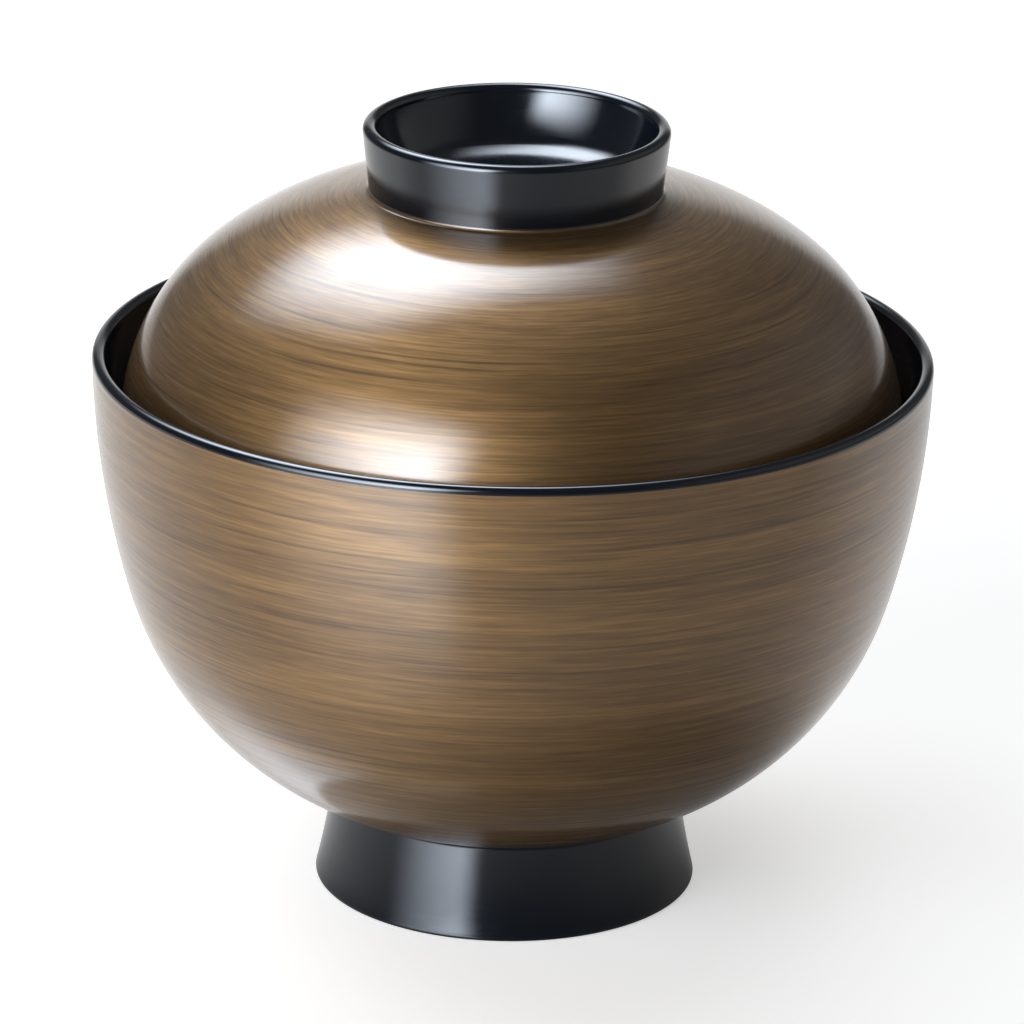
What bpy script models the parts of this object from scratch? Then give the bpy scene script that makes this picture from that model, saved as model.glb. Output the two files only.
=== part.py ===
"""Lidded soup bowl of moulded resin: a footed bowl, and a domed lid with a ring grip that sits inside its rim.

Both pieces are turned about the Z axis. The bowl stands on Z = 0, and the lid's own origin is on the axis,
level with the rounded edge that rests on the bowl's flared mouth.
"""

import math
from collections import namedtuple

import bmesh
import bpy

# Bowl: rim, wall and floor (metres, and degrees for the leans)
MOUTH_RADIUS = 0.0570
BOWL_HEIGHT = 0.0761
LIP_THICKNESS = 0.0018
RIM_LEAN = 1.0
SHOULDER_DEPTH = 0.0317
SHOULDER_LEAN = 15.9
BOWL_WALL = 0.0042
FLARE_DEPTH = 0.0123
FLOOR_THICKNESS = 0.0050

# Bowl: foot
FOOT_HEIGHT = 0.0129
FOOT_NECK_RADIUS = 0.0240
FOOT_BASE_RADIUS = 0.0264
FOOT_HOLLOW = 0.0002
FOOT_RING_WIDTH = 0.0036
FOOT_EDGE_ROUND = 0.0005
NECK_COVE = 0.0005
RECESS_DRAFT = 0.0007
RECESS_COVE = 0.0020

# Lid: seat and dome
SEAT_DEPTH = 0.0076
FIT_GAP = 0.0003
LID_WALL = 0.0023
LID_EDGE_LEAN = 6.0
SIDE_ARC_RADIUS = 0.0302
SIDE_END_LEAN = 50.5
SHOULDER_ARC_RADIUS = 0.0447
SHOULDER_END_LEAN = 75.9

# Lid: ring grip
RING_BASE_RADIUS = 0.0198
RING_TOP_RADIUS = 0.0207
RING_HEIGHT = 0.0092
RING_LIP_THICKNESS = 0.0019
RING_COVE = 0.0006
CUP_DEPTH = 0.0088
CUP_FLOOR_THICKNESS = 0.0014
CUP_FLOOR_RADIUS = 0.0094
CUP_DISH_RADIUS = 0.0119
CUP_DISH_LEAN = 27.7
CUP_COVE_RADIUS = 0.0036
CUP_COVE_LEAN = 55.0

# Finishes: a brushed brown coat over black gloss resin
BROWN_COAT = (0.200, 0.118, 0.052, 1.0)
BROWN_ROUGHNESS = 0.30
BLACK_GLOSS = (0.012, 0.013, 0.018, 1.0)
BLACK_ROUGHNESS = 0.12

# Fineness of the turned meshes
TURN_STEPS = 64
LIP_STEPS = 6
COVE_STEPS = 3
EDGE_STEPS = 2
BELLY_STEPS = 8
UPPER_WALL_STEPS = 4
LOWER_MOUTH_STEPS = 3
FLARE_STEPS = 5
FOOT_STEPS = 4
DOME_STEPS = (6, 4, 3)
CUP_STEPS = 4
SEAT_HALVINGS = 50
SLOPE_PROBE = 0.0001
SMOOTH_BELOW = math.radians(40)
MERGE_DISTANCE = 0.000001

# An arc of a half section: its angles are those of the outward normal, from the +R direction towards +Z
Arc = namedtuple("Arc", "centre_r centre_z radius start end")


def arc_point(arc, angle, inset=0.0):
    """The point of the arc whose outward normal has this angle, moved inwards by inset."""
    reach = arc.radius - inset
    return (arc.centre_r + reach * math.cos(angle), arc.centre_z + reach * math.sin(angle))


def arc_points(arc, steps, inset=0.0):
    """The arc from start to end in equal steps, both ends included."""
    turn = (arc.end - arc.start) / steps
    return [arc_point(arc, arc.start + turn * k, inset) for k in range(steps + 1)]


def arc_from(point, radius, start, end):
    """The arc that leaves point, where its outward normal has the angle start."""
    return Arc(point[0] - radius * math.cos(start), point[1] - radius * math.sin(start), radius, start, end)


def arc_to(point, start, target):
    """The arc that leaves point with the outward normal start and ends in target."""
    run_r = target[0] - point[0]
    run_z = target[1] - point[1]
    inward = -(run_r * math.cos(start) + run_z * math.sin(start))
    radius = (run_r * run_r + run_z * run_z) / (2 * inward)
    arc = arc_from(point, radius, start, start)
    return arc._replace(end=math.atan2(target[1] - arc.centre_z, target[0] - arc.centre_r))


def hollow_points(top, bottom, depth, steps):
    """The points between top and bottom, bowed towards the axis by depth halfway."""
    points = []
    for k in range(1, steps):
        share = k / steps
        bow = 4 * depth * share * (1 - share)
        points.append((top[0] + (bottom[0] - top[0]) * share - bow, top[1] + (bottom[1] - top[1]) * share))
    return points


def unit(start, end):
    """The direction from start to end."""
    length = math.dist(start, end)
    return ((end[0] - start[0]) / length, (end[1] - start[1]) / length)


def rounded_corner(before, corner, after, radius, steps):
    """The arc of this radius that takes the place of a corner, tangent to both of its sides."""
    back = unit(corner, before)
    on = unit(corner, after)
    half = math.acos(back[0] * on[0] + back[1] * on[1]) / 2
    setback = radius / math.tan(half)
    middle = unit((0.0, 0.0), (back[0] + on[0], back[1] + on[1]))
    to_centre = radius / math.sin(half)
    centre = (corner[0] + middle[0] * to_centre, corner[1] + middle[1] * to_centre)
    first = (corner[0] + back[0] * setback, corner[1] + back[1] * setback)
    last = (corner[0] + on[0] * setback, corner[1] + on[1] * setback)
    start = math.atan2(first[1] - centre[1], first[0] - centre[0])
    end = math.atan2(last[1] - centre[1], last[0] - centre[0])
    turn = math.remainder(end - start, 2 * math.pi)
    return arc_points(Arc(centre[0], centre[1], radius, start, start + turn), steps)


def bowl_arcs():
    """The round of the bowl's lip, and the two tangent arcs of its outside from there to the foot's neck."""
    lip_round = LIP_THICKNESS / 2
    start = -math.radians(RIM_LEAN)
    end = -math.radians(SHOULDER_LEAN)
    lip = Arc(MOUTH_RADIUS - lip_round, BOWL_HEIGHT - lip_round, lip_round, start + math.pi, start)
    upper_radius = SHOULDER_DEPTH / (math.sin(start) - math.sin(end))
    upper = arc_from(arc_point(lip, start), upper_radius, start, end)
    belly = arc_to(arc_point(upper, end), end, (FOOT_NECK_RADIUS, FOOT_HEIGHT))
    return lip, upper, belly


def wall_at(depth):
    """The bowl's wall at a depth below the lip, easing from the thin lip to the full wall: the mouth's flare."""
    share = min(depth / FLARE_DEPTH, 1.0)
    return LIP_THICKNESS + (BOWL_WALL - LIP_THICKNESS) * share * share * (3 - 2 * share)


def mouth_point(upper, depth):
    """The point of the bowl's inside that faces its upper wall at a depth below the lip."""
    angle = math.asin(math.sin(upper.start) - depth / upper.radius)
    return arc_point(upper, angle, wall_at(depth))


def seat():
    """The centre of the lid's rounded edge, which rests on the slope of the bowl's mouth with the fit gap."""
    upper = bowl_arcs()[1]
    seat_z = BOWL_HEIGHT - SEAT_DEPTH
    shallow = 0.0
    deep = SHOULDER_DEPTH
    for _ in range(SEAT_HALVINGS):
        depth = (shallow + deep) / 2
        if mouth_point(upper, depth)[1] > seat_z:
            shallow = depth
        else:
            deep = depth
    above = mouth_point(upper, depth - SLOPE_PROBE)
    below = mouth_point(upper, depth + SLOPE_PROBE)
    slope = math.atan2(above[0] - below[0], above[1] - below[1])
    reach = (LID_WALL / 2 + FIT_GAP) / math.cos(slope)
    return (mouth_point(upper, depth)[0] - reach, seat_z)


def bowl_profile():
    """The bowl's half section, from its floor on the axis over the lip and round to the recess in the foot."""
    lip, upper, belly = bowl_arcs()
    floor_angle = -math.acos(min(1.0, max(0.0, -belly.centre_r / (belly.radius - BOWL_WALL))))
    inside = arc_points(belly._replace(start=floor_angle, end=belly.start), BELLY_STEPS, BOWL_WALL)
    floor_z = inside[0][1]
    for k in range(1, LOWER_MOUTH_STEPS):
        inside.append(mouth_point(upper, SHOULDER_DEPTH + (FLARE_DEPTH - SHOULDER_DEPTH) * k / LOWER_MOUTH_STEPS))
    for k in range(FLARE_STEPS, 0, -1):
        inside.append(mouth_point(upper, FLARE_DEPTH * k / FLARE_STEPS))
    rim = arc_points(lip, LIP_STEPS)
    outside = arc_points(upper, UPPER_WALL_STEPS)[1:] + arc_points(belly, BELLY_STEPS)[1:]

    neck = outside.pop()
    toe = (FOOT_BASE_RADIUS, 0.0)
    heel = (FOOT_BASE_RADIUS - FOOT_RING_WIDTH, 0.0)
    recess = (heel[0] - RECESS_DRAFT, floor_z - FLOOR_THICKNESS)
    recess_middle = (0.0, recess[1])
    flare = hollow_points(neck, toe, FOOT_HOLLOW, FOOT_STEPS)
    foot = rounded_corner(outside[-1], neck, flare[0], NECK_COVE, EDGE_STEPS)
    foot += flare
    foot += rounded_corner(flare[-1], toe, heel, FOOT_EDGE_ROUND, EDGE_STEPS)
    foot += rounded_corner(toe, heel, recess, FOOT_EDGE_ROUND, EDGE_STEPS)
    foot += rounded_corner(heel, recess, recess_middle, RECESS_COVE, COVE_STEPS)
    return [(0.0, floor_z)] + inside + rim + outside + foot + [recess_middle]


def dome_arcs(edge, stop_radius):
    """The tangent arcs of the lid's outside, from its edge up to stop_radius. The last has its centre on the axis."""
    start = math.radians(LID_EDGE_LEAN)
    point = arc_point(Arc(edge[0], edge[1], LID_WALL / 2, start, start), start)
    arcs = []
    for radius, lean in ((SIDE_ARC_RADIUS, SIDE_END_LEAN), (SHOULDER_ARC_RADIUS, SHOULDER_END_LEAN), (None, 90.0)):
        crown_radius = point[0] / math.cos(start)
        arc = arc_from(point, radius or crown_radius, start, math.radians(lean))
        meets = math.acos(min(1.0, (stop_radius - arc.centre_r) / arc.radius))
        arcs.append(arc._replace(end=min(arc.end, meets)))
        if meets <= arc.end:
            break
        start = arc.end
        point = arc_point(arc, start)
    return arcs


def cup_points(floor_z, rim):
    """The cup in the ring: from the edge of its flat floor over a dish and a cove up to rim, which is left out."""
    level = -math.pi / 2
    dish = arc_from((CUP_FLOOR_RADIUS, floor_z), CUP_DISH_RADIUS, level, level + math.radians(CUP_DISH_LEAN))
    cove = arc_from(arc_point(dish, dish.end), CUP_COVE_RADIUS, dish.end, level + math.radians(CUP_COVE_LEAN))
    wall = arc_to(arc_point(cove, cove.end), cove.end, rim)
    return arc_points(dish, CUP_STEPS) + arc_points(cove, COVE_STEPS)[1:] + arc_points(wall, CUP_STEPS)[1:-1]


def lid_profile():
    """The lid's half section about its own origin, from the cup in the ring over the dome and round to its inside."""
    edge = (seat()[0], 0.0)
    lean = math.radians(LID_EDGE_LEAN)
    brim = arc_points(Arc(edge[0], edge[1], LID_WALL / 2, lean, lean - math.pi), LIP_STEPS)
    outside = []
    for arc, steps in zip(dome_arcs(edge, RING_BASE_RADIUS), DOME_STEPS):
        outside += arc_points(arc, steps)[1:]
    base = outside.pop()
    lip_round = RING_LIP_THICKNESS / 2
    ring_top = base[1] + RING_HEIGHT
    lip = arc_points(Arc(RING_TOP_RADIUS - lip_round, ring_top - lip_round, lip_round, math.pi, 0.0), LIP_STEPS)
    cup_floor = ring_top - CUP_DEPTH
    ring = cup_points(cup_floor, lip[0]) + lip
    ring += rounded_corner(lip[-1], base, outside[-1], RING_COVE, COVE_STEPS)

    inner_arcs = dome_arcs(edge, 0.0)
    crown = inner_arcs[-1]
    ceiling = min(cup_floor - CUP_FLOOR_THICKNESS, arc_point(crown, math.pi / 2, LID_WALL)[1])
    inner_arcs[-1] = crown._replace(end=math.asin((ceiling - crown.centre_z) / (crown.radius - LID_WALL)))
    inside = []
    for arc, steps in zip(inner_arcs, DOME_STEPS):
        inside += arc_points(arc, steps, LID_WALL)[1:]
    return [(0.0, cup_floor)] + ring + outside[::-1] + brim + inside + [(0.0, ceiling)]


def material(name, colour, roughness):
    """A plain glossy finish."""
    finish = bpy.data.materials.new(name)
    finish.use_nodes = True
    shader = finish.node_tree.nodes["Principled BSDF"]
    shader.inputs["Base Color"].default_value = colour
    shader.inputs["Roughness"].default_value = roughness
    shader.inputs["Metallic"].default_value = 0.0
    return finish


def turned(name, profile, coated):
    """A closed body turned from a half section, brown where coated(radius, z, normal) says so and black elsewhere."""
    shape = bmesh.new()
    verts = [shape.verts.new((r, 0.0, z)) for r, z in profile]
    edges = [shape.edges.new(pair) for pair in zip(verts, verts[1:])]
    whole_turn = 2 * math.pi
    bmesh.ops.spin(shape, geom=verts + edges, axis=(0, 0, 1), angle=whole_turn, steps=TURN_STEPS, use_merge=True)
    bmesh.ops.remove_doubles(shape, verts=shape.verts, dist=MERGE_DISTANCE)
    bmesh.ops.recalc_face_normals(shape, faces=shape.faces)
    for face in shape.faces:
        middle = face.calc_center_median()
        radius = math.hypot(middle.x, middle.y)
        outward = (face.normal.x * middle.x + face.normal.y * middle.y) / radius
        face.material_index = 0 if coated(radius, middle.z, (outward, face.normal.z)) else 1
    mesh = bpy.data.meshes.new(name)
    shape.to_mesh(mesh)
    shape.free()
    mesh.shade_smooth()
    mesh.set_sharp_from_angle(angle=SMOOTH_BELOW)
    mesh.materials.append(material(name + "_coat", BROWN_COAT, BROWN_ROUGHNESS))
    mesh.materials.append(material(name + "_base", BLACK_GLOSS, BLACK_ROUGHNESS))
    piece = bpy.data.objects.new(name, mesh)
    bpy.context.collection.objects.link(piece)
    return piece


def bowl_coated(_radius, z, normal):
    """The bowl's brown coat covers its outside from under the lip to the foot's neck."""
    return FOOT_HEIGHT < z < BOWL_HEIGHT - LIP_THICKNESS and normal[0] > 0


def lid_coated(radius, z, normal):
    """The lid's brown coat covers the outside of the dome from its edge up to the ring's cove."""
    return radius > RING_BASE_RADIUS + RING_COVE and z > 0 and normal[0] + normal[1] > 0


for old in list(bpy.data.objects):
    bpy.data.objects.remove(old, do_unlink=True)

stand = bpy.data.objects.new("lidded_bowl", None)
bpy.context.collection.objects.link(stand)

bowl = turned("bowl", bowl_profile(), bowl_coated)
bowl.parent = stand

lid = turned("lid", lid_profile(), lid_coated)
lid.location = (0.0, 0.0, seat()[1])
lid.parent = stand
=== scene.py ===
import math

import bmesh
import bpy
from mathutils import Matrix, Vector


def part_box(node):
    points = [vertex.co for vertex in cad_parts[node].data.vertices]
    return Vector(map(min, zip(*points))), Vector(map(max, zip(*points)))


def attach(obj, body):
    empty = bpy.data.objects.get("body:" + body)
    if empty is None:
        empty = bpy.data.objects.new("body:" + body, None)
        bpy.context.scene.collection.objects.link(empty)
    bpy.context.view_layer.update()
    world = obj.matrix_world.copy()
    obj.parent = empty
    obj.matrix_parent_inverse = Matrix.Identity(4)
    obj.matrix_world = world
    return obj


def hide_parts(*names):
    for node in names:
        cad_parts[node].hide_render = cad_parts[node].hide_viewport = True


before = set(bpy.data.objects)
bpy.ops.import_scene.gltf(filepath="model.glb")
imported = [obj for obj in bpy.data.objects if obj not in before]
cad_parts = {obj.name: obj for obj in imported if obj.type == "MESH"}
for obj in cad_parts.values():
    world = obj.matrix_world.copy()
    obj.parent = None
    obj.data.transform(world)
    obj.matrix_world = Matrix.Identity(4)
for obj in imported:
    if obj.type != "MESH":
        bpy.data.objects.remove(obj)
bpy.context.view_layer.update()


# Bowl
# A deep soup bowl on a hollow ring foot, pressed in one piece from black resin. Lip, inside and foot keep
# the polished black. The outside has a brown coat under clear gloss, brushed round the axis while wet.
# Just above the foot that coat's colour is darkened as painted shade.
MM = 0.001
bowl_low, bowl_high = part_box("bowl")
MOUTH_RADIUS = bowl_high.x
RIM_HEIGHT = bowl_high.z
LIP_THICKNESS = 1.8 * MM
RIM_LEAN = -1.0
PAINT_DEPTH = 0.10 * MM
SHOULDER_DEPTH = 31.7 * MM
SHOULDER_LEAN = -15.9
BOWL_WALL = 4.2 * MM
FLARE_DEPTH = 12.3 * MM
FLOOR_THICKNESS = 5.0 * MM
FOOT_HEIGHT = 12.9 * MM
NECK_RADIUS = 24.0 * MM
TOE_RADIUS = 26.4 * MM
FOOT_HOLLOW = 0.2 * MM
FOOT_RING_WIDTH = 3.6 * MM
FOOT_EDGE_ROUND = 0.5 * MM
NECK_COVE = 0.5 * MM
RECESS_DRAFT = 0.7 * MM
RECESS_COVE = 2.0 * MM
TURN_STEPS = 240


def arc(centre, radius, start, end, steps):
    """The points of an arc in a half section. Its angles are in degrees, from outwards towards up."""
    angles = [math.radians(start + (end - start) * k / steps) for k in range(steps + 1)]
    return [(centre[0] + radius * math.cos(a), centre[1] + radius * math.sin(a)) for a in angles]


def arc_centre(point, radius, lean):
    """The centre of an arc through point, where it faces the angle lean."""
    facing = math.radians(lean)
    return (point[0] - radius * math.cos(facing), point[1] - radius * math.sin(facing))


def arc_on(point, lean, target, steps):
    """The arc that leaves point, facing the angle lean there, and ends in target."""
    run = Vector(target) - Vector(point)
    facing = Vector((math.cos(math.radians(lean)), math.sin(math.radians(lean))))
    radius = run.length_squared / (-2 * run.dot(facing))
    centre = arc_centre(point, radius, lean)
    end = math.degrees(math.atan2(target[1] - centre[1], target[0] - centre[0]))
    return arc(centre, radius, lean, end, steps)


def straight(start, end, steps, bow=0.0):
    """The points of a line, close together at its ends. It bows towards the axis by bow halfway."""
    points = []
    for k in range(steps + 1):
        share = (1 - math.cos(math.pi * k / steps)) / 2
        inward = 4 * bow * share * (1 - share)
        out = start[0] + (end[0] - start[0]) * share - inward
        points.append((out, start[1] + (end[1] - start[1]) * share))
    return points


def fillet(before, corner, after, radius, steps):
    """The round of this radius in place of a corner, tangent to both of its sides."""
    back = Vector((before[0] - corner[0], before[1] - corner[1])).normalized()
    on = Vector((after[0] - corner[0], after[1] - corner[1])).normalized()
    half = back.angle(on) / 2
    centre = Vector(corner) + (back + on).normalized() * (radius / math.sin(half))
    first = Vector(corner) + back * (radius / math.tan(half)) - centre
    last = Vector(corner) + on * (radius / math.tan(half)) - centre
    start = math.degrees(math.atan2(first.y, first.x))
    turn = math.degrees(math.remainder(math.atan2(last.y, last.x) - math.radians(start), 2 * math.pi))
    return arc(tuple(centre), radius, start, start + turn, steps)


def turned(name, zones):
    """A closed body turned from the zones of its half section, each a finish's number and its points."""
    section = []
    finishes = []
    for finish, points in zones:
        for point in points:
            if section and math.dist(point, section[-1]) < 0.00001 * MM:
                continue
            if section:
                finishes.append(finish)
            section.append(point)
    ways = [0.0]
    for here, there in zip(section, section[1:]):
        ways.append(ways[-1] + math.dist(here, there))

    verts = []
    turning = []
    rows = []
    for (radius, height), way in zip(section, ways):
        count = TURN_STEPS if radius > 0.00001 * MM else 1
        rows.append([len(verts) + k % count for k in range(TURN_STEPS + 1)])
        for k in range(count):
            angle = 2 * math.pi * k / TURN_STEPS
            verts.append((radius * math.cos(angle), radius * math.sin(angle), height))
            turning += [math.cos(angle), math.sin(angle), way / MM]
    faces = []
    spots = []
    slots = []
    for row in range(len(section) - 1):
        for k in range(TURN_STEPS):
            corners = {}
            for r, c in ((row, k), (row + 1, k), (row + 1, k + 1), (row, k + 1)):
                corners.setdefault(rows[r][c], (c / TURN_STEPS, ways[r] / ways[-1]))
            faces.append(tuple(corners))
            slots.append(finishes[row])
            for spot in corners.values():
                spots += spot

    mesh = bpy.data.meshes.new(name)
    mesh.from_pydata(verts, [], faces)
    mesh.polygons.foreach_set("material_index", slots)
    mesh.attributes.new("turning", "FLOAT_VECTOR", "POINT").data.foreach_set("vector", turning)
    mesh.uv_layers.new(name="OFBake").uv.foreach_set("vector", spots)
    mesh.shade_smooth()
    body = bpy.data.objects.new(name, mesh)
    bpy.context.collection.objects.link(body)
    return body


lip_round = LIP_THICKNESS / 2
lip_centre = (MOUTH_RADIUS - lip_round, RIM_HEIGHT - lip_round)
lip = arc(lip_centre, lip_round, 180 + RIM_LEAN, RIM_LEAN, 24)
upper_radius = SHOULDER_DEPTH / (math.sin(math.radians(RIM_LEAN)) - math.sin(math.radians(SHOULDER_LEAN)))
upper_centre = arc_centre(lip[-1], upper_radius, RIM_LEAN)


def upper_lean(depth):
    """The upper wall's lean in degrees at a depth below the lip's round."""
    return math.degrees(math.asin(math.sin(math.radians(RIM_LEAN)) - depth / upper_radius))


def mouth_point(depth):
    """The point inside the bowl across from its upper wall at a depth. The wall thins to the lip there."""
    share = min(depth / FLARE_DEPTH, 1.0)
    wall = LIP_THICKNESS + (BOWL_WALL - LIP_THICKNESS) * share * share * (3 - 2 * share)
    lean = upper_lean(depth)
    return arc(upper_centre, upper_radius - wall, lean, lean, 1)[0]


paint_lean = upper_lean(PAINT_DEPTH)
shoulder = arc(upper_centre, upper_radius, SHOULDER_LEAN, SHOULDER_LEAN, 1)[0]
neck = (NECK_RADIUS, FOOT_HEIGHT)
run = Vector(neck) - Vector(shoulder)
facing = Vector((math.cos(math.radians(SHOULDER_LEAN)), math.sin(math.radians(SHOULDER_LEAN))))
belly_radius = run.length_squared / (-2 * run.dot(facing))
belly_centre = arc_centre(shoulder, belly_radius, SHOULDER_LEAN)
neck_lean = math.degrees(math.atan2(neck[1] - belly_centre[1], neck[0] - belly_centre[0]))

inside_radius = belly_radius - BOWL_WALL
inside = arc(belly_centre, inside_radius, -90, SHOULDER_LEAN, 60)
floor_height = inside[0][1]
inside = straight((0.0, floor_height), inside[0], 8) + inside
inside += [mouth_point(SHOULDER_DEPTH * (1 - k / 48)) for k in range(49)]
black_rim = arc(upper_centre, upper_radius, RIM_LEAN, paint_lean, 2)
outside = arc(upper_centre, upper_radius, paint_lean, SHOULDER_LEAN, 44)
outside += arc(belly_centre, belly_radius, SHOULDER_LEAN, neck_lean, 70)

toe = (TOE_RADIUS, 0.0)
heel = (TOE_RADIUS - FOOT_RING_WIDTH, 0.0)
recess = (heel[0] - RECESS_DRAFT, floor_height - FLOOR_THICKNESS)
recess_middle = (0.0, recess[1])
foot_side = straight(neck, toe, 30, FOOT_HOLLOW)
neck_round = fillet(outside[-2], neck, foot_side[1], NECK_COVE, 10)
toe_round = fillet(foot_side[-2], toe, heel, FOOT_EDGE_ROUND, 10)
heel_round = fillet(toe, heel, recess, FOOT_EDGE_ROUND, 10)
recess_round = fillet(heel, recess, recess_middle, RECESS_COVE, 12)


def clear_of(points, ends):
    """The points of a side without those that the rounds at its ends take away."""
    kept = []
    for point in points:
        if all(math.dist(point, corner) > math.dist(round_end, corner) for corner, round_end in ends):
            kept.append(point)
    return kept


outside = clear_of(outside, [(neck, neck_round[0])])
foot_side = clear_of(foot_side, [(neck, neck_round[-1]), (toe, toe_round[0])])
foot = neck_round + foot_side + toe_round
foot += straight(toe_round[-1], heel_round[0], 8) + heel_round
foot += straight(heel_round[-1], recess_round[0], 10) + recess_round
foot += straight(recess_round[-1], recess_middle, 12)

bowl = turned("bowl_body", [(1, inside + lip + black_rim), (0, outside), (1, foot)])


def place(tree, kind, feeds=None, **settings):
    """Adds a node to a tree. Feeds are values or nodes' outputs, by the names or numbers of its inputs."""
    made = tree.nodes.new(kind)
    for name, value in settings.items():
        setattr(made, name, value)
    for name, value in (feeds or {}).items():
        if isinstance(value, bpy.types.NodeSocket):
            tree.links.new(value, made.inputs[name])
        else:
            made.inputs[name].default_value = value
    return made


def new_group(name, inputs, outputs):
    """An empty node group. Inputs are a name, a kind and a default each, outputs a name and a kind."""
    group = bpy.data.node_groups.new(name, "ShaderNodeTree")
    for label, kind, default in inputs:
        socket = group.interface.new_socket(label, in_out="INPUT", socket_type=kind)
        if default is not None:
            socket.default_value = default
    for label, kind in outputs:
        group.interface.new_socket(label, in_out="OUTPUT", socket_type=kind)
    return group, group.nodes.new("NodeGroupInput").outputs, group.nodes.new("NodeGroupOutput").inputs


def streaks(tree, around, cells, width, detail, shift):
    """Noise drawn out round the axis: so many cells to a radian, and one cell to a width in millimetres."""
    stretch = {0: around, 1: (cells, cells, 1 / width)}
    stretched = place(tree, "ShaderNodeVectorMath", stretch, operation="MULTIPLY")
    moved = place(tree, "ShaderNodeVectorMath", {0: stretched.outputs[0], 1: shift}, operation="ADD")
    feeds = {"Vector": moved.outputs[0], "Scale": 1.0, "Detail": detail, "Roughness": 0.6}
    return place(tree, "ShaderNodeTexNoise", feeds).outputs["Fac"]


def blend_streaks(tree, parts):
    """The sum of streaks, each about its middle value and times its share, about one half."""
    total = 0.5
    for value, share in parts:
        middle = place(tree, "ShaderNodeMath", {0: value, 1: 0.5}, operation="SUBTRACT").outputs[0]
        terms = {0: middle, 1: share, 2: total}
        total = place(tree, "ShaderNodeMath", terms, operation="MULTIPLY_ADD").outputs[0]
    return total


brush, brush_in, brush_out = new_group(
    "brush_marks",
    [("Around", "NodeSocketVector", None), ("Shift", "NodeSocketVector", None)],
    [("Tone", "NodeSocketFloat"), ("Lines", "NodeSocketFloat"), ("Grooves", "NodeSocketFloat")],
)
bands = streaks(brush, brush_in["Around"], 0.6, 3.6, 2.0, brush_in["Shift"])
sweeps = streaks(brush, brush_in["Around"], 1.3, 1.20, 1.0, brush_in["Shift"])
strokes = streaks(brush, brush_in["Around"], 2.8, 0.44, 1.0, brush_in["Shift"])
hairs = streaks(brush, brush_in["Around"], 9.0, 0.24, 1.0, brush_in["Shift"])
lines = streaks(brush, brush_in["Around"], 0.8, 0.60, 1.0, brush_in["Shift"])
tone = blend_streaks(brush, [(bands, 0.36), (sweeps, 0.24), (strokes, 0.48), (hairs, 0.38)])
brush.links.new(tone, brush_out["Tone"])
line_range = {"Value": lines, "From Min": 0.60, "From Max": 0.78}
brush.links.new(place(brush, "ShaderNodeMapRange", line_range).outputs[0], brush_out["Lines"])
brush.links.new(blend_streaks(brush, [(strokes, 0.5), (hairs, 1.0)]), brush_out["Grooves"])


def length_of(points):
    """The length of a run of points in millimetres, as the turning attribute counts it."""
    return sum(math.dist(here, there) for here, there in zip(points, points[1:])) / MM


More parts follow.
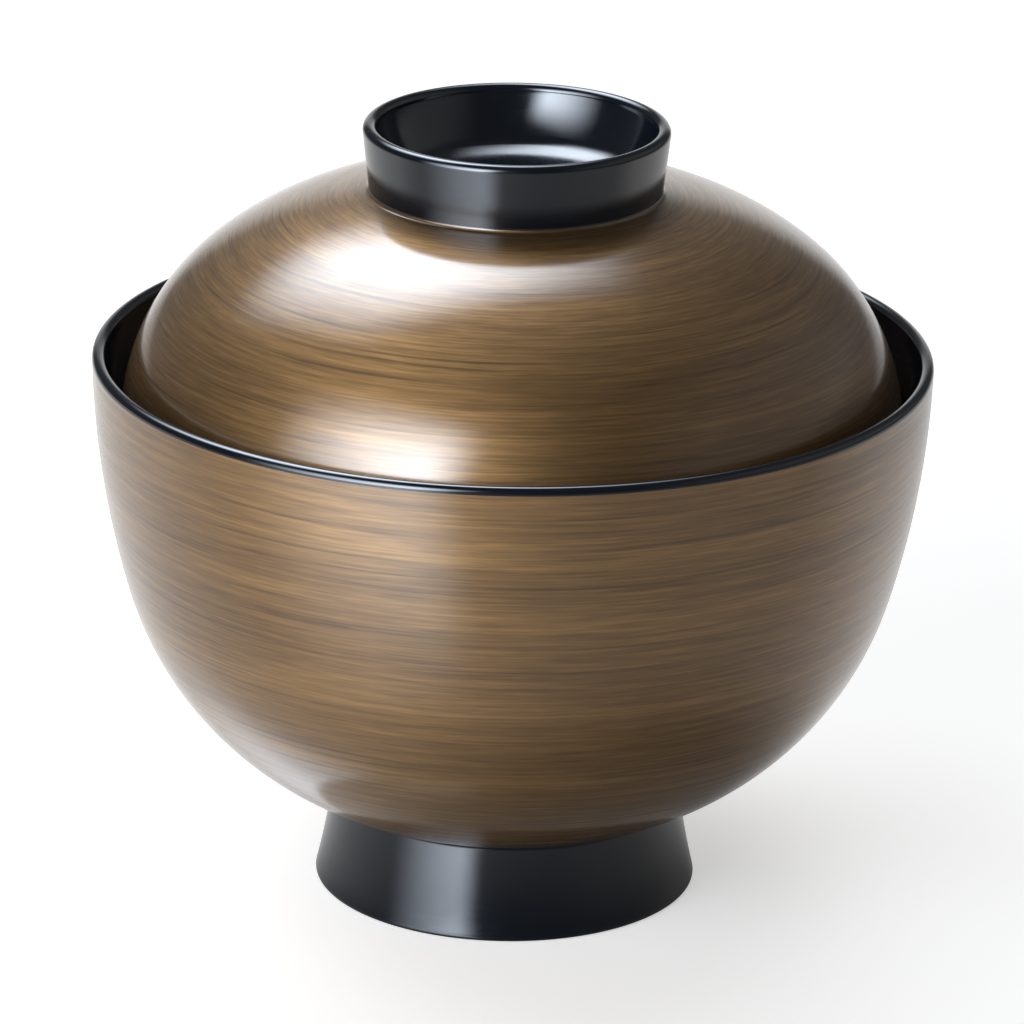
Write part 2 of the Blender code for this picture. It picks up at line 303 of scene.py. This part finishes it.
def brushed_coat(name, shift, depth, corner, painted_shade_reach, painted_shade_tone):
    """The brown coat: streaked colour, darker by the share depth, and grooves of the brush under clear
    gloss.

    Near a corner, which lies that far along the section, the colour is darkened as painted shade, in place
    of the shade there and the dark mirror image of the black part next to it. The two arguments after corner
    set how far it reaches and how dark it gets."""
    coat = bpy.data.materials.new(name)
    coat.use_nodes = True
    tree = coat.node_tree
    shader = tree.nodes["Principled BSDF"]
    around = place(tree, "ShaderNodeAttribute", attribute_name="turning").outputs["Vector"]
    marks = place(tree, "ShaderNodeGroup", node_tree=brush)
    tree.links.new(around, marks.inputs["Around"])
    marks.inputs["Shift"].default_value = shift
    ramp = place(tree, "ShaderNodeValToRGB", {"Fac": marks.outputs["Tone"]})
    stops = ((0.23, (0.108, 0.053, 0.016)), (0.50, (0.210, 0.110, 0.034)), (0.77, (0.344, 0.190, 0.061)))
    while len(ramp.color_ramp.elements) < len(stops):
        ramp.color_ramp.elements.new(0.5)
    for element, (position, colour) in zip(ramp.color_ramp.elements, stops):
        element.position = position
        # The share depth darkens the whole coat; on the lid this is painted shade.
        element.color = (*(level * (1 - depth) for level in colour), 1.0)
    faint = {0: marks.outputs["Lines"], 1: 0.55}
    darker = place(tree, "ShaderNodeMath", faint, operation="MULTIPLY").outputs[0]
    lined = place(tree, "ShaderNodeMix", data_type="RGBA")
    tree.links.new(darker, lined.inputs["Factor"])
    tree.links.new(ramp.outputs["Color"], lined.inputs[6])
    lined.inputs[7].default_value = (0.022, 0.012, 0.006, 1.0)
    # Painted shade: close to the corner the colour is darkened towards near black, in place of the shade and
    # the dark mirror image of the black part there.
    along = place(tree, "ShaderNodeSeparateXYZ", {0: around}).outputs["Z"]
    off_corner = place(tree, "ShaderNodeMath", {0: along, 1: corner}, operation="SUBTRACT").outputs[0]
    from_corner = place(tree, "ShaderNodeMath", {0: off_corner}, operation="ABSOLUTE").outputs[0]
    painted_shade_range = {"Value": from_corner, "From Max": painted_shade_reach, "To Min": 1 - painted_shade_tone, "To Max": 0.0}
    painted_shade_share = place(tree, "ShaderNodeMapRange", painted_shade_range, interpolation_type="SMOOTHSTEP").outputs[0]
    painted_shade_mix = place(tree, "ShaderNodeMix", data_type="RGBA")
    tree.links.new(painted_shade_share, painted_shade_mix.inputs["Factor"])
    tree.links.new(lined.outputs[2], painted_shade_mix.inputs[6])
    painted_shade_mix.inputs[7].default_value = (0.006, 0.004, 0.003, 1.0)
    tree.links.new(painted_shade_mix.outputs[2], shader.inputs["Base Color"])
    dull = {"Value": marks.outputs["Tone"], "From Min": 0.2, "From Max": 0.8, "To Min": 0.56, "To Max": 0.48}
    tree.links.new(place(tree, "ShaderNodeMapRange", dull).outputs[0], shader.inputs["Roughness"])
    grooves = {"Strength": 0.6, "Distance": 0.004 * MM, "Height": marks.outputs["Grooves"]}
    tree.links.new(place(tree, "ShaderNodeBump", grooves).outputs[0], shader.inputs["Normal"])
    shader.inputs["Metallic"].default_value = 0.8
    shader.inputs["Anisotropic"].default_value = 0.3
    shader.inputs["Anisotropic Rotation"].default_value = 0.25
    shader.inputs["Coat Weight"].default_value = 1.0
    shader.inputs["Coat Roughness"].default_value = 0.14
    shader.inputs["Coat IOR"].default_value = 1.6
    return coat


ripple, ripple_in, ripple_out = new_group(
    "polish_ripple",
    [("Around", "NodeSocketVector", None), ("Shift", "NodeSocketVector", None)],
    [("Haze", "NodeSocketFloat"), ("Ripple", "NodeSocketFloat")],
)
swell = streaks(ripple, ripple_in["Around"], 9.0, 3.0, 1.0, ripple_in["Shift"])
polish = streaks(ripple, ripple_in["Around"], 5.0, 0.35, 2.0, ripple_in["Shift"])
ripple.links.new(blend_streaks(ripple, [(swell, 0.6), (polish, 0.9)]), ripple_out["Haze"])
ripple.links.new(blend_streaks(ripple, [(swell, 1.0), (polish, 0.05)]), ripple_out["Ripple"])


def black_gloss(name, shift):
    """The polished black resin: faint swells of the moulding and fine turning marks of the polish."""
    gloss = bpy.data.materials.new(name)
    gloss.use_nodes = True
    tree = gloss.node_tree
    shader = tree.nodes["Principled BSDF"]
    around = place(tree, "ShaderNodeAttribute", attribute_name="turning").outputs["Vector"]
    marks = place(tree, "ShaderNodeGroup", node_tree=ripple)
    tree.links.new(around, marks.inputs["Around"])
    marks.inputs["Shift"].default_value = shift
    tint = place(tree, "ShaderNodeMix", data_type="RGBA")
    tree.links.new(marks.outputs["Haze"], tint.inputs["Factor"])
    tint.inputs[6].default_value = (0.0020, 0.0050, 0.0105, 1.0)
    tint.inputs[7].default_value = (0.0040, 0.0080, 0.0155, 1.0)
    tree.links.new(tint.outputs[2], shader.inputs["Base Color"])
    dull = {"Value": marks.outputs["Haze"], "From Min": 0.2, "From Max": 0.8, "To Min": 0.10, "To Max": 0.17}
    tree.links.new(place(tree, "ShaderNodeMapRange", dull).outputs[0], shader.inputs["Roughness"])
    waves = {"Strength": 0.5, "Distance": 0.010 * MM, "Height": marks.outputs["Ripple"]}
    tree.links.new(place(tree, "ShaderNodeBump", waves).outputs[0], shader.inputs["Normal"])
    shader.inputs["IOR"].default_value = 1.62
    return gloss


# The bowl's coat gets painted shade just above the foot, where the belly mirrors the black foot.
neck_way = length_of(inside + lip + black_rim + outside)
bowl_coat = brushed_coat(
    "bowl_brown_coat", shift=(0.0, 0.0, 0.0), depth=0.0, corner=neck_way, painted_shade_reach=9.0, painted_shade_tone=0.35
)
bowl.data.materials.append(bowl_coat)
bowl.data.materials.append(black_gloss("bowl_black_gloss", shift=(0.0, 0.0, 0.0)))
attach(bowl, "bowl")
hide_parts("bowl")


# Lid
# A domed lid with a hollow ring grip, pressed in one piece from the same black resin. The dome has the
# bowl's brushed brown coat, painted darker all over as shade and with painted shade round the foot of the
# ring; ring and inside stay black. Its rounded edge rests on the bowl's flared mouth.
lid_low, lid_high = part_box("lid")
LID_WALL = 2.3 * MM
LID_EDGE_LEAN = 6.0
SIDE_RADIUS = 30.2 * MM
SIDE_END_LEAN = 50.5
SHOULDER_RADIUS = 44.7 * MM
SHOULDER_END_LEAN = 75.9
RING_BASE_RADIUS = 19.8 * MM
RING_TOP_RADIUS = 20.7 * MM
RING_LIP_THICKNESS = 1.9 * MM
RING_COVE = 0.6 * MM
CUP_DEPTH = 8.8 * MM
CUP_FLOOR_THICKNESS = 1.4 * MM
CUP_FLOOR_RADIUS = 9.4 * MM
CUP_DISH_RADIUS = 11.9 * MM
CUP_DISH_LEAN = 27.7
CUP_COVE_RADIUS = 3.6 * MM
CUP_COVE_LEAN = 55.0

edge_round = LID_WALL / 2
edge_centre = (lid_high.x - edge_round, lid_low.z + edge_round)
side_start = arc(edge_centre, edge_round, LID_EDGE_LEAN, LID_EDGE_LEAN, 1)[0]
side_centre = arc_centre(side_start, SIDE_RADIUS, LID_EDGE_LEAN)
side = arc(side_centre, SIDE_RADIUS, LID_EDGE_LEAN, SIDE_END_LEAN, 48)
dome_centre = arc_centre(side[-1], SHOULDER_RADIUS, SIDE_END_LEAN)
dome = arc(dome_centre, SHOULDER_RADIUS, SIDE_END_LEAN, SHOULDER_END_LEAN, 36)
crown_radius = dome[-1][0] / math.cos(math.radians(SHOULDER_END_LEAN))
crown_centre = arc_centre(dome[-1], crown_radius, SHOULDER_END_LEAN)
ring_lean = math.degrees(math.acos(RING_BASE_RADIUS / crown_radius))
crown = arc(crown_centre, crown_radius, SHOULDER_END_LEAN, ring_lean, 10)

ring_base = crown[-1]
ring_lip_round = RING_LIP_THICKNESS / 2
ring_lip_centre = (RING_TOP_RADIUS - ring_lip_round, lid_high.z - ring_lip_round)
ring_lip = arc(ring_lip_centre, ring_lip_round, 180, 0, 24)
cup_middle = (0.0, lid_high.z - CUP_DEPTH)
ceiling_height = cup_middle[1] - CUP_FLOOR_THICKNESS
ceiling_lean = math.degrees(math.asin((ceiling_height - crown_centre[1]) / (crown_radius - LID_WALL)))
crown_inside = arc(crown_centre, crown_radius - LID_WALL, SHOULDER_END_LEAN, ceiling_lean, 16)
crown_inside += straight(crown_inside[-1], (0.0, ceiling_height), 12)
cup_dish_centre = (CUP_FLOOR_RADIUS, cup_middle[1] + CUP_DISH_RADIUS)
cup_dish = arc(cup_dish_centre, CUP_DISH_RADIUS, -90, CUP_DISH_LEAN - 90, 16)
cup_cove_centre = arc_centre(cup_dish[-1], CUP_COVE_RADIUS, CUP_DISH_LEAN - 90)
cup_cove = arc(cup_cove_centre, CUP_COVE_RADIUS, CUP_DISH_LEAN - 90, CUP_COVE_LEAN - 90, 14)
cup_wall = arc_on(cup_cove[-1], CUP_COVE_LEAN - 90, ring_lip[0], 20)
base_round = fillet(ring_lip[-1], ring_base, crown[-2], RING_COVE, 12)
cove_paint = 3

cup = straight(cup_middle, cup_dish[0], 12) + cup_dish + cup_cove + cup_wall + ring_lip
ring_outside = straight(ring_lip[-1], base_round[0], 16) + base_round[:cove_paint + 1]
coated = base_round[cove_paint:] + clear_of(crown[::-1], [(ring_base, base_round[-1])])
coated += dome[::-1] + side[::-1] + arc(edge_centre, edge_round, LID_EDGE_LEAN, -30, 6)
under = arc(edge_centre, edge_round, -30, LID_EDGE_LEAN - 180, 18)
under += arc(side_centre, SIDE_RADIUS - LID_WALL, LID_EDGE_LEAN, SIDE_END_LEAN, 40)
under += arc(dome_centre, SHOULDER_RADIUS - LID_WALL, SIDE_END_LEAN, SHOULDER_END_LEAN, 30) + crown_inside

lid = turned("lid_body", [(1, cup + ring_outside), (0, coated), (1, under)])
# The lid's coat is painted darker all over as shade, and gets painted shade round the foot of the ring.
ring_way = length_of(cup + ring_outside)
lid_coat = brushed_coat(
    "lid_brown_coat", shift=(3.7, 1.9, 40.3), depth=0.20, corner=ring_way, painted_shade_reach=6.0, painted_shade_tone=0.70
)
lid.data.materials.append(lid_coat)
lid.data.materials.append(black_gloss("lid_black_gloss", shift=(2.1, 5.3, 11.0)))
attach(lid, "lid")
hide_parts("lid")


# Table
# A plain white sheet that the bowl stands on. It takes the soft shadow, and what the camera sees of it is
# lifted to white, a little more on the left as painted light, and further out altogether, so that it runs
# into the white room without an edge. Gloss sees it as a polished sheet with a glow of painted light,
# brighter behind and on the left, and with a painted shadow beside the foot.
TABLE_RADIUS = 1.6
WHITE_FROM = 0.30
WHITE_AT = 0.55
PAINTED_SHADOW_MIDDLE = (0.022, -0.028, 0.0)
WHITE = (1.0, 1.0, 1.0, 1.0)
table_mesh = bpy.data.meshes.new("table_sheet")
table_shape = bmesh.new()
bmesh.ops.create_circle(table_shape, cap_ends=True, segments=96, radius=TABLE_RADIUS)
table_shape.to_mesh(table_mesh)
table_shape.free()
table = bpy.data.objects.new("table_sheet", table_mesh)
table.location = (0.0, 0.0, bowl_low.z - 0.05 * MM)
bpy.context.collection.objects.link(table)
sheet_white = bpy.data.materials.new("table_white")
sheet_white.use_nodes = True
tree = sheet_white.node_tree
tree.nodes.remove(tree.nodes["Principled BSDF"])
paper = place(tree, "ShaderNodeBsdfDiffuse", {"Color": (0.30, 0.30, 0.30, 1.0)}).outputs[0]
pale = place(tree, "ShaderNodeBsdfDiffuse", {"Color": WHITE}).outputs[0]
spot = place(tree, "ShaderNodeTexCoord").outputs["Object"]
on_sheet = place(tree, "ShaderNodeSeparateXYZ", {0: spot}).outputs
# The lift brings the sheet to white and grows towards the left of the sheet as painted light.
lift_with_painted_light_range = {"Value": on_sheet["X"], "From Min": 0.0, "From Max": -0.10, "To Min": 0.53, "To Max": 0.74}
lift_with_painted_light = place(tree, "ShaderNodeMapRange", lift_with_painted_light_range, interpolation_type="SMOOTHSTEP").outputs[0]
lift = place(tree, "ShaderNodeEmission", {"Color": WHITE, "Strength": lift_with_painted_light}).outputs[0]
white = place(tree, "ShaderNodeEmission", {"Color": WHITE, "Strength": 1.0}).outputs[0]
lifted = place(tree, "ShaderNodeAddShader", {0: pale, 1: lift}).outputs[0]
away = place(tree, "ShaderNodeVectorMath", {0: spot}, operation="LENGTH").outputs["Value"]
fade_range = {"Value": away, "From Min": WHITE_FROM, "From Max": WHITE_AT}
fade = place(tree, "ShaderNodeMapRange", fade_range, interpolation_type="SMOOTHSTEP").outputs[0]
seen = place(tree, "ShaderNodeMixShader", {0: fade, 1: lifted, 2: white}).outputs[0]
rays = place(tree, "ShaderNodeLightPath").outputs
# Painted light for gloss: the sheet's glow is brighter behind and on the left.
painted_light_behind_range = {"Value": on_sheet["Y"], "From Min": -0.06, "From Max": 0.06, "To Min": 0.55, "To Max": 1.0}
painted_light_behind = place(tree, "ShaderNodeMapRange", painted_light_behind_range, interpolation_type="SMOOTHSTEP").outputs[0]
painted_light_left_range = {"Value": on_sheet["X"], "From Min": 0.08, "From Max": -0.12, "To Min": -0.06, "To Max": 0.25}
painted_light_left = place(tree, "ShaderNodeMapRange", painted_light_left_range, interpolation_type="SMOOTHSTEP").outputs[0]
painted_light_sum = place(tree, "ShaderNodeMath", {0: painted_light_behind, 1: painted_light_left}, operation="ADD").outputs[0]
# Painted shadow for gloss: the glow dims close to a point beside the foot.
measured = place(tree, "ShaderNodeVectorMath", {0: spot, 1: PAINTED_SHADOW_MIDDLE}, operation="DISTANCE")
apart = measured.outputs["Value"]
painted_shadow_range = {"Value": apart, "From Min": 0.024, "From Max": 0.078, "To Min": 0.22, "To Max": 1.0}
painted_shadow_share = place(tree, "ShaderNodeMapRange", painted_shadow_range, interpolation_type="SMOOTHSTEP").outputs[0]
# The sheet glows for gloss as painted light, dimmed by the painted shadow.
glow = place(tree, "ShaderNodeMath", {0: painted_light_sum, 1: painted_shadow_share}, operation="MULTIPLY").outputs[0]
painted_glow_sheet = place(tree, "ShaderNodeEmission", {"Color": WHITE, "Strength": glow}).outputs[0]
polish_sheet = place(tree, "ShaderNodeBsdfGlossy", {"Color": WHITE, "Roughness": 0.10}).outputs[0]
grazing = place(tree, "ShaderNodeFresnel", {"IOR": 2.2}).outputs[0]
acrylic = place(tree, "ShaderNodeMixShader", {0: grazing, 1: painted_glow_sheet, 2: polish_sheet}).outputs[0]
unseen = place(tree, "ShaderNodeMixShader", {0: rays["Is Glossy Ray"], 1: paper, 2: acrylic}).outputs[0]
either = place(tree, "ShaderNodeMixShader", {0: rays["Is Camera Ray"], 1: unseen, 2: seen}).outputs[0]
tree.links.new(either, tree.nodes["Material Output"].inputs["Surface"])
table_mesh.materials.append(sheet_white)


# Light
# A soft room, white behind the object and dim on the camera's side. Two softboxes show in the gloss: one
# above and behind the left shoulder, and a tall one in front on the left. Three lamps give light and shade:
# one in the front softbox, one high on the left and one high behind.
MIDDLE = Vector((0.0, 0.0, 55 * MM))
room = bpy.data.worlds.new("soft_room")
room.use_nodes = True
tree = room.node_tree
tree.nodes.remove(tree.nodes["Background"])
way_out = place(tree, "ShaderNodeTexCoord").outputs["Generated"]
toward = place(tree, "ShaderNodeSeparateXYZ", {0: way_out}).outputs


def eased(value, start, end, low, high):
    """A value of the room's tree, eased from low to high between two of its limits."""
    limits = {"Value": value, "From Min": start, "From Max": end, "To Min": low, "To Max": high}
    return place(tree, "ShaderNodeMapRange", limits, interpolation_type="SMOOTHSTEP").outputs[0]


def combined(how, first, second):
    """Two values of the room's tree, added, multiplied or the larger of them."""
    return place(tree, "ShaderNodeMath", {0: first, 1: second}, operation=how).outputs[0]


behind = eased(toward["Y"], 0.91, 0.985, 0.0, 1.0)
above_table = eased(toward["Z"], 0.02, 0.22, 0.0, 1.0)
right_wall = combined("MULTIPLY", eased(toward["X"], 0.45, 0.90, 0.0, 0.22), above_table)
sides = combined("ADD", eased(toward["Y"], -0.9, 0.3, 0.08, 0.10), right_wall)
mirrored = place(tree, "ShaderNodeBackground", {"Color": combined("MAXIMUM", behind, sides)}).outputs[0]
shade_level = eased(toward["Y"], -0.4, 1.0, 0.01, 0.15)
ambient = place(tree, "ShaderNodeBackground", {"Color": shade_level}).outputs[0]
backdrop = place(tree, "ShaderNodeBackground", {"Color": WHITE, "Strength": 1.0}).outputs[0]
path = place(tree, "ShaderNodeLightPath").outputs
shiny = combined("MAXIMUM", path["Is Glossy Ray"], path["Is Transmission Ray"])
dim = place(tree, "ShaderNodeMixShader", {0: shiny, 1: ambient, 2: mirrored}).outputs[0]
all_rays = place(tree, "ShaderNodeMixShader", {0: path["Is Camera Ray"], 1: dim, 2: backdrop}).outputs[0]
tree.links.new(all_rays, tree.nodes["World Output"].inputs["Surface"])
bpy.context.scene.world = room


GLOSS_TINT = (0.88, 0.98, 1.12)
SHADE_TINT = (0.98, 1.0, 1.02)


def lamp(name, azimuth, elevation, distance, width, height, watts, soft):
    """An area lamp aimed at the bowl, its azimuth from the camera's side to the right, with soft edges."""
    light = bpy.data.lights.new(name, "AREA")
    light.shape = "RECTANGLE"
    light.size = width
    light.size_y = height
    light.energy = watts
    light.color = GLOSS_TINT if name.endswith("gloss") else SHADE_TINT
    turn = math.radians(azimuth)
    rise = math.radians(elevation)
    level = math.cos(rise)
    outwards = Vector((math.sin(turn) * level, -math.cos(turn) * level, math.sin(rise)))
    placed = bpy.data.objects.new(name, light)
    placed.location = MIDDLE + outwards * distance
    placed.rotation_euler = outwards.to_track_quat("Z", "Y").to_euler()
    bpy.context.collection.objects.link(placed)
    light.use_nodes = True
    tree = light.node_tree
    glow = tree.nodes["Emission"]
    across = place(tree, "ShaderNodeNewGeometry").outputs["Parametric"]
    spread = place(tree, "ShaderNodeSeparateXYZ", {0: across}).outputs
    strength = 1.0
    for side_of, (low, high) in zip(("X", "Y"), soft):
        for start, full in ((0.0, low), (1.0, 1.0 - high)):
            edge = {"Value": spread[side_of], "From Min": start, "From Max": full}
            ease = place(tree, "ShaderNodeMapRange", edge, interpolation_type="SMOOTHSTEP").outputs[0]
            strength = place(tree, "ShaderNodeMath", {0: ease, 1: strength}, operation="MULTIPLY").outputs[0]
    tree.links.new(strength, glow.inputs["Strength"])
    return placed


# Each lamp has a name, azimuth, elevation, distance, width, height and watts, and then the shares of its
# width and of its height over which it fades at each end.
LAMPS = (
    ("shoulder_gloss", -154, 55, 1.10, 1.30, 1.04, 48.0, ((0.50, 0.50), (0.45, 0.37))),
    ("front_gloss", -44, 22, 1.10, 1.38, 1.27, 87.0, ((0.80, 0.28), (0.34, 0.50))),
    ("front_shade", -43, 22, 1.15, 1.48, 1.32, 26.0, ((0.60, 0.30), (0.37, 0.50))),
    ("left_shade", -116, 52, 1.10, 1.00, 1.00, 8.0, ((0.40, 0.40), (0.40, 0.40))),
    ("back_shade", 150, 70, 1.10, 1.00, 1.00, 8.0, ((0.40, 0.40), (0.40, 0.40))),
)
for name, azimuth, elevation, distance, width, height, watts, soft in LAMPS:
    made = lamp(name, azimuth, elevation, distance, width, height, watts, soft)
    made.visible_glossy = name.endswith("gloss")
    made.visible_diffuse = name.endswith("shade")


# Camera
# The photograph's own view: a long lens from a little above the rim, with a slight roll.
CAMERA_DISTANCE = 0.900
CAMERA_ELEVATION = math.radians(19.65)
CAMERA_ROLL = math.radians(0.99)
CAMERA_AIM = Vector((0.22 * MM, 0.0, 52.65 * MM))
FOCAL_PIXELS = 6581.0
FRAME_PIXELS = 1024
forward = Vector((0.0, math.cos(CAMERA_ELEVATION), -math.sin(CAMERA_ELEVATION)))
level_up = Vector((0.0, math.sin(CAMERA_ELEVATION), math.cos(CAMERA_ELEVATION)))
right = Vector((1.0, 0.0, 0.0)) * math.cos(CAMERA_ROLL) + level_up * math.sin(CAMERA_ROLL)
up = right.cross(forward)
camera_data = bpy.data.cameras.new("photo_camera")
camera_data.sensor_width = 36.0
camera_data.lens = camera_data.sensor_width * FOCAL_PIXELS / FRAME_PIXELS
camera = bpy.data.objects.new("photo_camera", camera_data)
placing = Matrix((right, up, -forward)).transposed().to_4x4()
placing.translation = CAMERA_AIM - forward * CAMERA_DISTANCE
camera.matrix_world = placing
bpy.context.collection.objects.link(camera)
bpy.context.scene.camera = camera
bpy.context.scene.view_settings.view_transform = "Standard"
